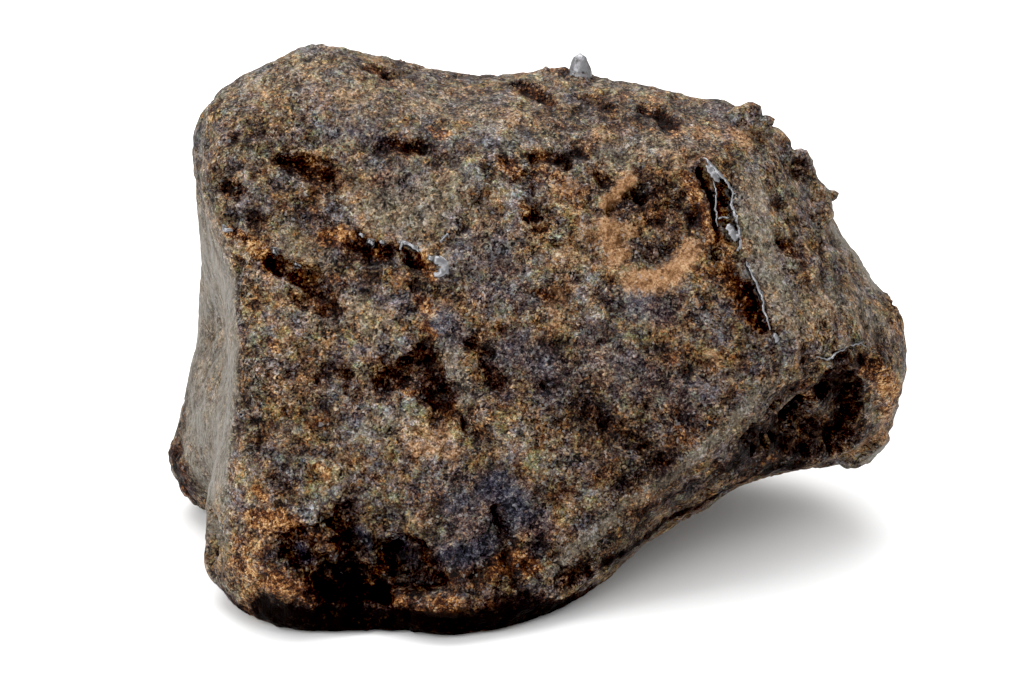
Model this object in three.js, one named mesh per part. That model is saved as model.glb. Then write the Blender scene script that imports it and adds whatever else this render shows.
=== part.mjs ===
// An iron meteorite the size of a fist: one stone, standing on its own flat foot.
// Millimetres, +Z up. +X is the end that juts out over the table, and -Y is the broad leaning face.
//
// The stone is shaped from one ball of directions: a cage of named corners sets its faces,
// rounding softens them, lumps and thumbprint hollows go on top, and a cut makes the flat foot.

import * as THREE from 'three';
import { ConvexHull } from 'three/addons/math/ConvexHull.js';
import { ImprovedNoise } from 'three/addons/math/ImprovedNoise.js';
import { mergeVertices } from 'three/addons/utils/BufferGeometryUtils.js';

const meshDetail = 19; // the ball has 20 * (meshDetail + 1)^2 triangles
const heart = new THREE.Vector3(-4, 2, 30); // every corner can be seen from here
const roundingPasses = 2;
const roundingShare = 0.5; // how far each pass moves a vertex towards its neighbours
const lumps = [
  { height: 0.9, length: 17 },
  { height: 0.5, length: 8 },
];

// Where the stone's faces meet, and points that set how each face bulges or dips.
const corners = {
  // the skyline, from the left shoulder over the crown to the overhanging end
  leftShoulder: [-48.2, 4, 58.5],
  shoulderTop: [-43, 2, 65.2],
  crownLeft: [-37.5, 4, 68.6],
  crown: [-30, 8, 70],
  crownRight: [-20.5, 10, 66.2],
  topSaddle: [-10, 12, 63.4],
  topMiddle: [3, 12, 64],
  topRight: [14, 10, 62.6],
  topBrow: [23, 9, 60.2],
  browCorner: [31, 8, 59.9],
  browFall: [36.6, 8, 53],
  endShelf: [40.4, 9, 45.6],
  endNotch: [41.2, 11, 39.4],
  endShoulder: [49.8, 8, 32.8],
  endKnuckle: [53, 5, 29],
  endTip: [52.9, 3, 19.5],
  endHeel: [52.4, 3, 12.6],
  endLow: [47.6, 1, 5.8],

  // the underside of the overhang, back to the foot
  hollowUnder: [37, -2, 11],
  underRight: [30, -4, 8.8],
  underMiddle: [21.5, -8, 4.8],
  underLeft: [13.4, -13.5, 3.2],
  footRight: [7.4, -20.5, -0.5],
  footCorner: [1.5, -28, -2],
  footFront: [-5, -35.4, -2.5],
  footMiddle: [-15, -37.2, -2.5],
  footLeft: [-30.5, -37.2, -2.5],
  footHeel: [-39.5, -33, -1.6],
  footEnd: [-45, -26, 1.2],

  // the narrow left face and the edge that it shares with the broad face
  leftLow: [-47.2, -21, 8],
  leftKnob: [-56, 5, 6.4],
  leftKnobFoot: [-52, 2, 0.4],
  leftKnobTop: [-52.8, 8, 15],
  leftMiddle: [-49, 8, 26.5],
  leftWaist: [-47.8, 6, 36.5],
  leftHigh: [-48.8, 4, 48.8],
  edgeTop: [-43.4, -7.5, 61],
  edgeHigh: [-44, -11, 55.6],
  edgeNotch: [-43.2, -13.5, 51],
  edgeStep: [-40.6, -15, 47.8],
  edgeMiddle: [-40, -19.5, 41],
  edgeLow: [-40.4, -23.5, 31.5],
  edgeFoot: [-41.2, -27.5, 23],
  edgeToe: [-43, -29, 15.5],
  leftDish: [-43.4, -8, 28],
  leftDishLow: [-45.5, -10, 15],
  leftDishHigh: [-43.8, -6, 42],

  // the broad leaning face
  browLeft: [-32, -4, 64.5],
  browMiddle: [-12, -1, 61.5],
  browRight: [8, -1, 60.6],
  faceTopLeft: [-32, -10, 56.2],
  faceTopMiddle: [-14.5, -8, 57.4],
  faceTopRight: [3, -8, 56.6],
  lipTop: [22, -7, 56],
  bowl: [13.5, -10.5, 49.6],
  dish: [-19, -13.5, 48.4],
  pocket: [-32, -15.5, 44.6],
  faceLeft: [-28, -25.5, 29.4],
  faceMiddle: [-14.5, -23, 30.4],
  faceCentre: [2.5, -20.6, 36.4],
  faceRight: [16, -20.5, 33],
  faceLow: [-5.5, -28.2, 22],
  faceLowLeft: [-22, -29, 20.4],
  faceLowRight: [8, -27, 19.4],
  toeLeft: [-32, -33, 17],
  toePad: [-40.5, -33.5, 8],
  toeHollow: [-20, -31.6, 11],
  toeMiddle: [-4, -31.6, 13],
  toeLip: [-14, -39.4, 4.4],
  toeLipLeft: [-31, -38.4, 5.4],
  toeLipRight: [-1.5, -35.6, 5.4],
  toeRight: [5, -31, 6],

  // the ridge from the foot up to the overhanging end, and the face to the right of it
  lipMiddle: [27, -11.5, 46.8],
  lipFoot: [31.8, -17.5, 35.4],
  ridgeTop: [35, -18, 31],
  ridgeHigh: [27.6, -21.5, 25.4],
  ridgeMiddle: [21.4, -23.5, 20.8],
  ridgeLow: [13.4, -26.5, 14.6],
  underFace: [30, -15, 15],
  underFaceLow: [17, -19, 8],
  rightTop: [32, -4.5, 51],
  rightMiddle: [36.5, -7.5, 42.4],
  rightLow: [43.5, -9, 34.6],
  endBrow: [41, -13, 31],
  endHollow: [38, -9, 21],
  endRim: [48.5, -8, 24],
  endRimLow: [45, -8, 13],

  // the back, which is broader and blunter than the front
  backCrown: [-28, 24, 61],
  backTop: [-6, 26, 56],
  backTopRight: [16, 24, 54],
  backBrow: [29, 21, 44],
  backEnd: [43, 18, 27],
  backEndLow: [42, 16, 12],
  backShoulder: [-44, 20, 52],
  backLeft: [-49, 22, 32],
  backLeftLow: [-48, 20, 10],
  backUpper: [-20, 36, 48],
  backMiddle: [-2, 39, 38],
  backRight: [18, 34, 34],
  backLow: [-22, 37, 22],
  backLowRight: [6, 36, 16],
  backUnder: [26, 22, 8],
  backHeel: [-38, 28, 2],
  backFoot: [-16, 31, 0.5],
  backFootRight: [8, 24, 1],

  // under the foot, so that the flat cut leaves a foot broad enough to stand on
  soleFront: [-22, -20, -3],
  soleMiddle: [-20, 0, -3],
  soleLeft: [-36, -4, -2],
  soleRight: [4, -8, -2],
  soleBack: [-18, 18, -2],
};

// Thumbprint hollows: where each is pressed in, how far across and how deep.
const hollows = [
  // on the broad face
  { at: [-31, -12, 57], across: 15, deep: 1.6 },
  { at: [-19, -14, 50], across: 17, deep: 1.5 },
  { at: [-33, -16, 44], across: 13, deep: 1.5 },
  { at: [14, -12, 48], across: 17, deep: 1.4 },
  { at: [-1, -8, 57], across: 13, deep: 0.9 },
  { at: [-14, -24, 30], across: 15, deep: 0.8 },
  { at: [-4, -22, 34], across: 12, deep: 0.8 },
  { at: [14, -21, 31], across: 16, deep: 0.7 },
  { at: [-20, -33, 11], across: 20, deep: 1.8 },
  { at: [-5, -32, 13], across: 12, deep: 1.2 },
  { at: [37, -12, 21], across: 16, deep: 2.6 },
  // on the narrow left face
  { at: [-46, -2, 30], across: 24, deep: 1.4 },
  { at: [-47, 6, 48], across: 14, deep: 1.0 },
  // on the back
  { at: [-20, 36, 50], across: 26, deep: 3.0 },
  { at: [4, 38, 40], across: 22, deep: 2.6 },
  { at: [24, 30, 38], across: 20, deep: 2.4 },
  { at: [-34, 30, 34], across: 24, deep: 2.8 },
  { at: [-12, 38, 24], across: 22, deep: 2.4 },
  { at: [14, 34, 18], across: 20, deep: 2.2 },
  { at: [-36, 28, 14], across: 18, deep: 2.0 },
  { at: [34, 24, 18], across: 18, deep: 2.2 },
  // on the top
  { at: [-20, 22, 64], across: 20, deep: 1.8 },
  { at: [8, 20, 60], across: 20, deep: 2.0 },
  { at: [30, 14, 54], across: 15, deep: 1.4 },
];

// A corner as seen from the heart of the stone.
function fromHeart([x, y, z]) {
  return new THREE.Vector3(x, y, z).sub(heart);
}

// The cage: a hull of the corners' directions tells which three corners each face joins.
function cageFaces() {
  const spokes = Object.values(corners).map(fromHeart);
  const tips = new Map(spokes.map((spoke) => [spoke.clone().normalize(), spoke]));
  const hull = new ConvexHull().setFromPoints([...tips.keys()]);
  return hull.faces.map((face) => {
    const first = face.edge;
    const ends = [first, first.next, first.next.next].map((edge) => tips.get(edge.head().point));
    return new THREE.Matrix3().set(
      ends[0].x, ends[1].x, ends[2].x,
      ends[0].y, ends[1].y, ends[2].y,
      ends[0].z, ends[1].z, ends[2].z,
    ).invert();
  });
}

// How far the cage is from the heart along one direction.
function cageReach(direction, faces) {
  const shares = new THREE.Vector3();
  let best = { inside: -Infinity, reach: 0 };
  for (const face of faces) {
    shares.copy(direction).applyMatrix3(face);
    const inside = Math.min(shares.x, shares.y, shares.z);
    if (inside > best.inside) {
      best = { inside, reach: 1 / (shares.x + shares.y + shares.z) };
    }
  }
  return best.reach;
}

// The ball of directions, with each shared vertex listed once.
function directionBall() {
  const ball = new THREE.IcosahedronGeometry(1, meshDetail);
  ball.deleteAttribute('normal');
  ball.deleteAttribute('uv');
  return mergeVertices(ball, 1e-4);
}

// For each vertex, the vertices that it shares an edge with.
function neighboursOf(geometry) {
  const neighbours = Array.from({ length: geometry.attributes.position.count }, () => new Set());
  const index = geometry.index.array;
  for (let i = 0; i < index.length; i += 3) {
    for (let side = 0; side < 3; side += 1) {
      const a = index[i + side];
      const b = index[i + ((side + 1) % 3)];
      neighbours[a].add(b);
      neighbours[b].add(a);
    }
  }
  return neighbours;
}

// Softens the cage's edges, as rust and handling have.
function round(points, neighbours) {
  let shape = points;
  for (let pass = 0; pass < roundingPasses; pass += 1) {
    shape = shape.map((point, i) => {
      const middle = new THREE.Vector3();
      neighbours[i].forEach((n) => middle.add(shape[n]));
      middle.divideScalar(neighbours[i].size);
      return point.clone().lerp(middle, roundingShare);
    });
  }
  return shape;
}

// How far the thumbprints sink the surface at a point: deepest in the middle, with a soft rim.
function sink(point) {
  let depth = 0;
  for (const { at, across, deep } of hollows) {
    const reach = point.distanceTo(new THREE.Vector3(...at)) / (across / 2);
    if (reach < 1) depth += deep * (1 - reach * reach) ** 2;
  }
  return depth;
}

// Slow unevenness over the whole stone.
const noise = new ImprovedNoise();
function swell({ x, y, z }) {
  return lumps.reduce((sum, { height, length }) => (
    sum + height * noise.noise(x / length, y / length, z / length)
  ), 0);
}

function stoneGeometry() {
  const geometry = directionBall();
  const neighbours = neighboursOf(geometry);
  const faces = cageFaces();
  const position = geometry.attributes.position;

  const directions = Array.from({ length: position.count }, (_, i) => (
    new THREE.Vector3().fromBufferAttribute(position, i).normalize()
  ));
  const cage = directions.map((direction) => (
    direction.clone().multiplyScalar(cageReach(direction, faces)).add(heart)
  ));
  const rounded = round(cage, neighbours);

  rounded.forEach((point, i) => {
    point.addScaledVector(directions[i], swell(point) - sink(point));
    point.z = Math.max(point.z, 0); // the flat foot
    position.setXYZ(i, point.x, point.y, point.z);
  });
  geometry.computeVertexNormals();
  return geometry;
}

const meteorite = new THREE.Mesh(
  stoneGeometry(),
  new THREE.MeshStandardMaterial({ color: 0x5e5446, roughness: 0.6, metalness: 0.35 }),
);
meteorite.name = 'meteorite';

// The part's origin is under the middle of the stone, on the table.
meteorite.geometry.computeBoundingBox();
const middle = meteorite.geometry.boundingBox.getCenter(new THREE.Vector3());
meteorite.position.set(-middle.x, -middle.y, 0);

const part = new THREE.Group();
part.add(meteorite);

export default part;
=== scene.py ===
import math
from types import SimpleNamespace

import bmesh
import bpy
import numpy as np
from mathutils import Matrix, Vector, kdtree, noise
from mathutils.bvhtree import BVHTree


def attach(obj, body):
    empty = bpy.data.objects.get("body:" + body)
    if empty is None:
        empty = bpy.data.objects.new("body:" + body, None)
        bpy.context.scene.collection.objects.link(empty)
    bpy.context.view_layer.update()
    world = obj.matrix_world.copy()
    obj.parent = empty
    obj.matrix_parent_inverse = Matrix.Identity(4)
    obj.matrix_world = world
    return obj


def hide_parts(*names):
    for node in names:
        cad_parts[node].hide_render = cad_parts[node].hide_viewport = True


mm = 0.001

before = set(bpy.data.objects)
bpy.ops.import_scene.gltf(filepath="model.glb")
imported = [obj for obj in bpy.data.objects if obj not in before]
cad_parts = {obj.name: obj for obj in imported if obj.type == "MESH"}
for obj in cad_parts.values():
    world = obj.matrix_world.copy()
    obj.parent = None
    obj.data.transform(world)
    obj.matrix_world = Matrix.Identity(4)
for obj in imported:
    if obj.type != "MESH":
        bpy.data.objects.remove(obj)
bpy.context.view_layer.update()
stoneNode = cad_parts["meteorite"]
print("frame loaded")


# A new object, linked to the scene
def addObject(name, data):
    made = bpy.data.objects.new(name, data)
    bpy.context.scene.collection.objects.link(made)
    return made


# A mesh made from a bmesh, which is freed
def meshFrom(bm, name):
    mesh = bpy.data.meshes.new(name)
    bm.to_mesh(mesh)
    bm.free()
    return mesh


# Camera

cameraSetup = {
    "lens": 100.0,
    "sensorWide": 36.0,
    "distance": 398.0,
    "elevation": 22.0,  # degrees above the table
    "lookAt": (-3.03, -0.76, 28.0),
    "pictureWide": 1024,
    "pictureHigh": 678,
    "near": 0.01,       # clipping distances in metres
    "far": 20,
}
tilt = math.radians(cameraSetup["elevation"])
cameraBack = Vector((0, -math.cos(tilt), math.sin(tilt)))
cameraRight = Vector((1, 0, 0))
cameraUp = Vector((0, math.sin(tilt), math.cos(tilt)))
cameraPlace = Vector(cameraSetup["lookAt"]) + cameraBack * cameraSetup["distance"]
pixelsPerUnit = cameraSetup["pictureWide"] * cameraSetup["lens"] / cameraSetup["sensorWide"]


def makeCamera():
    data = bpy.data.cameras.new("camera")
    data.lens = cameraSetup["lens"]
    data.sensor_width = cameraSetup["sensorWide"]
    data.clip_start = cameraSetup["near"]
    data.clip_end = cameraSetup["far"]
    camera = addObject("camera", data)
    camera.location = cameraPlace * mm
    camera.rotation_euler = (math.pi / 2 - tilt, 0, 0)
    bpy.context.scene.camera = camera


# The direction from the camera through one pixel of the photograph
def pixelDirection(px, py):
    right = (px - cameraSetup["pictureWide"] / 2) / pixelsPerUnit
    up = (cameraSetup["pictureHigh"] / 2 - py) / pixelsPerUnit
    return (cameraRight * right + cameraUp * up - cameraBack).normalized()


makeCamera()
print("camera made")


# Features read off the photograph. A row ends with its path: the pixels that it follows, which are
# cast onto the stone, so that every feature lies on its surface. Lengths are millimetres.

# Steps in the surface: the low side lies on the left of the path as the viewer follows it.
# width of the low side, depth, width of the high side, rise, darkness of the low side (painted shade under
# the step), path
ledges = [
    # the long cleft of the right side, upper part
    (3, 1.9, 7, 0.55, 0.3, (735, 254), (739, 243), (737, 231), (733, 219), (730, 207), (732, 197),
     (729, 187), (721, 177), (710, 166), (701, 159)),
    # its lower part
    (3.4, 1.3, 8, 0.5, 0.5, (775, 336), (768, 324), (765, 310), (760, 294), (752, 276), (744, 264),
     (733, 256)),
    # the brow over the hollow of the end
    (2.6, 1, 5, 0.3, 1, (870, 350), (858, 341), (847, 345), (836, 351), (826, 358), (817, 357)),
    # the shelf on the left of the broad face
    (3.2, 1.1, 5, 0.35, 1, (322, 276), (318, 268), (306, 264), (292, 261), (281, 256), (272, 246),
     (266, 236)),
    # the edge that the small flakes stand on
    (2.6, 0.8, 6, 0.25, 1, (430, 262), (420, 254), (408, 247), (394, 242), (378, 243), (364, 238),
     (352, 230)),
    # the brows over the toe hollow
    (3.2, 1.2, 4, 0.2, 1, (358, 512), (346, 510), (330, 518), (314, 526), (296, 528), (286, 536)),
    (3, 1.1, 4, 0.15, 1, (440, 560), (428, 546), (414, 536), (398, 532), (384, 540)),
    # over the dark patch of the middle
    (2.6, 0.6, 4, 0.1, 1, (432, 356), (424, 348), (412, 352), (398, 362), (384, 366)),
]

# width, depth, darkness, path; the darkness is partly dark crust and partly painted shade in the hollow
hollows = [
    # crown
    (2.4, 0.7, 1, (372, 67), (386, 72)),
    (2.6, 1.2, 1, (520, 86), (534, 92), (548, 99)),
    (2.4, 0.4, 0.8, (556, 74), (574, 74), (590, 78)),
    (2.2, 1, 0.9, (592, 98), (604, 104), (616, 114)),
    (2.8, 1.2, 1, (646, 108), (660, 115), (672, 125)),
    (2.4, 0.5, 0.7, (752, 100), (764, 112), (768, 122)),
    # upper left
    (3.8, 1, 1, (294, 162), (308, 168), (326, 174)),
    (3.4, 0.4, 0.65, (240, 134), (258, 130)),
    (2.6, 0.3, 0.5, (262, 150), (276, 158)),
    (2.6, 0.7, 0.9, (384, 148), (400, 143), (420, 148)),
    (1.8, 0.4, 0.7, (432, 152), (448, 154)),
    (1.6, 0.3, 0.6, (396, 172), (404, 178)),
    (2.4, 0.4, 0.6, (224, 184), (240, 194)),
    (1.8, 0.5, 0.7, (232, 214), (250, 218), (268, 218)),
    (1.6, 0.4, 0.8, (236, 232), (244, 236)),
    # under the shelf and the flakes
    (2, 0.6, 1, (274, 262), (280, 270)),
    (3.6, 0.8, 1, (300, 276), (314, 284), (322, 300), (330, 306)),
    (2.2, 0.4, 0.8, (296, 294), (306, 302)),
    (2.6, 0.6, 0.95, (348, 252), (364, 256), (384, 252)),
    (1.6, 0.6, 0.9, (408, 256), (420, 262)),
    (1.8, 0.3, 0.6, (418, 284), (420, 298)),
    # middle of the face
    (4.6, 0.8, 0.95, (386, 374), (404, 370), (420, 360), (428, 378), (440, 396), (444, 408)),
    (2.2, 0.4, 0.7, (414, 346), (426, 344)),
    (2.6, 0.7, 0.9, (476, 342), (486, 356), (490, 370), (500, 384)),
    (1.8, 0.3, 0.55, (506, 384), (530, 388), (556, 384)),
    (2.2, 0.4, 0.75, (318, 378), (334, 370), (346, 374)),
    (2, 0.4, 0.75, (348, 390), (358, 398)),
    (1.9, 0.4, 0.75, (462, 422), (476, 434)),
    (2.2, 0.4, 0.75, (366, 470), (376, 480)),
    (2.2, 0.3, 0.6, (280, 478), (294, 484)),
    (3, 0.3, 0.45, (240, 400), (256, 410)),
    (2.4, 0.2, 0.4, (322, 342), (334, 346)),
    (2.2, 0.2, 0.45, (250, 308), (262, 304)),
    # upper middle
    (2.2, 0.7, 0.95, (534, 158), (552, 156), (566, 162)),
    (1.9, 0.5, 0.8, (576, 150), (590, 156)),
    (1.6, 0.4, 0.7, (508, 160), (514, 170)),
    (3.2, 0.4, 0.6, (524, 182), (534, 198)),
    (2.2, 0.6, 0.9, (530, 216), (540, 228)),
    (2.4, 0.4, 0.65, (584, 196), (592, 210)),
    (2, 0.4, 0.85, (600, 174), (608, 182)),
    (3, 0.6, 0.7, (618, 206), (632, 198), (650, 192), (668, 190), (682, 198)),
    (3.2, 0.5, 0.7, (650, 212), (668, 206), (684, 214)),
    (2.2, 0.3, 0.5, (646, 246), (662, 252), (674, 246)),
    (1.4, 0.3, 0.7, (536, 290), (546, 298)),
    # toe
    (4.2, 1.2, 0.85, (294, 536), (304, 552), (322, 574), (348, 588), (376, 596)),
    (4.4, 1.2, 0.8, (342, 516), (350, 536), (356, 560), (368, 580)),
    (4.4, 1, 0.8, (398, 552), (416, 560), (432, 574)),
    (3.6, 0.6, 1.25, (322, 590), (350, 598), (384, 594)),
    (3.4, 1, 0.8, (384, 568), (404, 580), (428, 584)),
    (3.4, 0.8, 1, (290, 540), (300, 556)),
    (2.2, 0.5, 0.85, (498, 508), (504, 526), (508, 538)),
    (1.8, 0.3, 0.6, (534, 528), (540, 540)),
    (3, 0.6, 0.95, (564, 578), (578, 574), (588, 570)),
    (2.4, 0.3, 0.6, (500, 584), (520, 580)),
    # overhanging end
    (5, 0.8, 0.85, (756, 436), (772, 430), (786, 414), (798, 400)),
    (3.4, 0.5, 0.85, (774, 404), (790, 392), (806, 384)),
    (5, 1.1, 0.95, (826, 386), (838, 378), (848, 390), (850, 412), (844, 434)),
    (4, 0.8, 0.85, (812, 424), (828, 436), (844, 444)),
    (3.2, 0.4, 0.9, (780, 440), (796, 446), (812, 450)),
    (1.8, 0.4, 0.9, (836, 358), (850, 356), (866, 360)),
    (2.2, 0.4, 0.7, (806, 366), (818, 372)),
    (2.2, 0.4, 0.7, (880, 346), (888, 352)),
    (1.8, 0.3, 0.7, (900, 304), (906, 316)),
    # beside the cleft
    (0.8, 0.6, 1.3, (700, 166), (706, 178), (711, 192), (714, 206), (716, 222), (718, 240)),
    (1.7, 0.3, 0.2, (724, 186), (726, 198), (727, 211)),
    (0.5, 0.1, 1, (729, 190), (729, 202), (731, 212)),
    (1.8, 0.1, 0.4, (722, 240), (722, 254)),
    (3.2, 0.2, 0.55, (728, 270), (742, 286), (752, 304), (762, 322)),
    (1, 0.2, 1.25, (750, 283), (758, 298), (762, 313), (768, 329)),
    # right face
    (2.4, 0.5, 0.8, (784, 246), (796, 254)),
    (1.6, 0.4, 0.8, (798, 221), (806, 226)),
    (1.6, 0.3, 0.6, (784, 268), (790, 272)),
    (2.4, 0.3, 0.5, (816, 250), (826, 262)),
    (1.8, 0.3, 0.6, (722, 166), (732, 178)),
    (2.6, 0.3, 0.6, (790, 170), (804, 176)),
    (2.2, 0.3, 0.5, (770, 150), (780, 158)),
    # lower right
    (2.6, 0.5, 0.75, (586, 404), (598, 414), (608, 426)),
    (2.6, 0.4, 0.75, (644, 450), (656, 462), (668, 458)),
    (3, 0.3, 0.6, (604, 474), (618, 484), (634, 480)),
    (2.4, 0.3, 0.55, (676, 412), (688, 404)),
    (2.2, 0.3, 0.5, (636, 432), (648, 438)),
    (5.4, 2.6, 0, (208, 516), (210, 530), (210, 542)),  # waist between the left face and the toe
    # left knob
    (2.4, 0.3, 0.9, (174, 452), (178, 470), (184, 486)),
]

# width, height, path
swells = [
    (4, 0.5, (566, 66), (584, 68)),
    (3.5, 0.9, (400, 596), (430, 604), (468, 606)),  # tan lip of the toe
    (5, 0.9, (262, 560), (284, 580), (310, 596)),  # orange side of the toe
    (2, 0.6, (324, 540), (334, 552)),
    (1.6, 0.5, (424, 552), (428, 562)),
    (1.8, 0.6, (362, 526), (374, 548), (380, 566)),
    (1.4, 0.5, (296, 544), (304, 562)),
    (5, 0.9, (884, 362), (890, 386), (888, 404)),
    (4.6, 1.5, (852, 458), (864, 452), (876, 438)),
    (3.4, 0.5, (806, 388), (816, 404), (812, 424)),
    (3.4, 0.35, (606, 222), (620, 246), (640, 280), (680, 272)),
    (5, 1.6, (806, 164), (812, 178), (818, 196), (821, 212)),
    (4, 0.2, (784, 142), (790, 150)),
    (4, 0.4, (208, 562), (212, 572)),
]

# Broad lighter and darker parts of the crust, some of them painted shade and painted sheen: width, change
# of tone, path
tonesAndPaintedLight = [
    # crown
    (13, 0.02, (260, 84), (300, 66), (350, 74)),
    (9, 0.02, (430, 100), (480, 106), (520, 124)),
    (7, -0.06, (560, 110), (620, 116), (690, 112), (750, 114)),
    (5, -0.04, (740, 112), (760, 130)),
    (4, -0.04, (560, 82), (600, 86)),
    (7, 0.04, (700, 120), (740, 136)),
    # upper face
    (5, 0.04, (600, 136), (640, 146), (680, 150)),
    (4, -0.04, (670, 150), (690, 160)),
    (4, 0.06, (310, 148), (340, 140)),
    (4, 0.05, (346, 192), (352, 222)),
    (5, -0.06, (310, 222), (330, 262), (380, 276)),
    (5, 0.03, (470, 180), (512, 226), (552, 232)),
    (8, 0.02, (390, 200), (430, 214), (460, 196)),
    (5, 0.05, (512, 192), (512, 232), (552, 232)),
    (3.6, -0.06, (662, 226), (690, 236)),
    (7, -0.05, (240, 200), (262, 206), (300, 220)),
    (6, -0.06, (620, 200), (690, 200)),
    # middle of the face
    (4, -0.06, (510, 350), (508, 390)),
    (4, -0.05, (508, 340), (514, 396), (476, 396)),
    (4, 0.07, (710, 380), (712, 400)),
    (4, 0.05, (510, 430), (556, 430)),
    (4, -0.06, (352, 424), (352, 440)),
    (4, -0.05, (676, 424), (706, 436)),
    (6, 0.07, (330, 312), (370, 318), (392, 330)),
    (5, 0.09, (362, 428), (390, 420), (424, 432), (440, 450)),
    (4, 0.06, (330, 480), (350, 468)),
    (6, -0.05, (500, 350), (540, 360), (560, 372)),
    (7, 0.05, (272, 250), (300, 316), (276, 392)),
    (5, 0.05, (596, 270), (592, 310), (600, 350)),
    (5, 0.05, (478, 300), (474, 350)),
    (4, 0.06, (476, 460), (470, 486)),
    (4, 0.06, (632, 424), (634, 440)),
    (6, -0.06, (672, 350), (720, 362), (760, 350)),
    (3.6, 0.05, (630, 420), (634, 440)),
    (3.4, -0.03, (640, 470), (700, 470), (740, 452)),
    (4.6, -0.07, (576, 396), (610, 430), (650, 450), (664, 480)),
    (6, 0.04, (500, 410), (540, 440), (560, 460)),
    (11, -0.05, (590, 340), (640, 370), (700, 400)),
    (8, -0.09, (560, 400), (600, 440), (650, 470)),
    (8, -0.03, (250, 340), (262, 400), (270, 460)),
    (8, -0.03, (330, 350), (320, 400)),
    (6, -0.03, (440, 300), (470, 330)),
    # left face, lighter as painted sheen, and its edge
    (5, 0.035, (236, 190), (234, 300), (240, 400), (236, 470)),
    (4, -0.13, (172, 450), (182, 470), (186, 490)),
    (3.6, -0.12, (186, 380), (182, 430), (192, 480), (204, 510)),
    (2.2, -0.06, (200, 130), (206, 220), (203, 330), (194, 370)),
    (3.4, 0.05, (212, 380), (216, 460), (214, 510)),
    # toe, darker low down: partly painted shade
    (5, -0.05, (390, 466), (400, 500), (430, 512), (360, 500)),
    (4, -0.08, (470, 590), (520, 592)),
    (3.6, 0.1, (304, 512), (312, 560), (318, 596)),
    (4, 0.06, (440, 540), (480, 546)),
    (8, -0.11, (470, 480), (520, 500), (520, 550)),
    (9, -0.16, (300, 600), (340, 560), (420, 570), (470, 560)),
    # ridge, and painted shade on the underside below it
    (5, 0.03, (590, 500), (620, 520)),
    (5, -0.09, (586, 520), (630, 508), (590, 550)),
    (3, -0.08, (610, 556), (650, 532), (700, 502), (750, 474), (800, 458)),
    (3.4, -0.12, (620, 540), (680, 500), (740, 462)),
    # right face and cleft
    (5, -0.05, (830, 290), (840, 320)),
    (4, 0.05, (790, 186), (800, 200)),
    (9, 0.06, (756, 200), (760, 250), (784, 300), (830, 320)),
    (6, -0.05, (690, 236), (716, 270), (744, 316)),
    (3, -0.12, (732, 274), (744, 290), (756, 312)),
    (2, -0.12, (723, 186), (725, 212)),
    # overhanging end, with painted shade in its hollow and underneath
    (4, 0.06, (872, 380), (880, 410)),
    (5, -0.1, (745, 410), (752, 436), (740, 460)),
    (2.4, -0.12, (740, 466), (780, 466), (830, 468)),
    (2.6, 0.08, (828, 384), (836, 380)),
    (3, -0.08, (868, 428), (880, 434)),
    (9, -0.14, (770, 440), (830, 420), (850, 380)),
]

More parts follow.
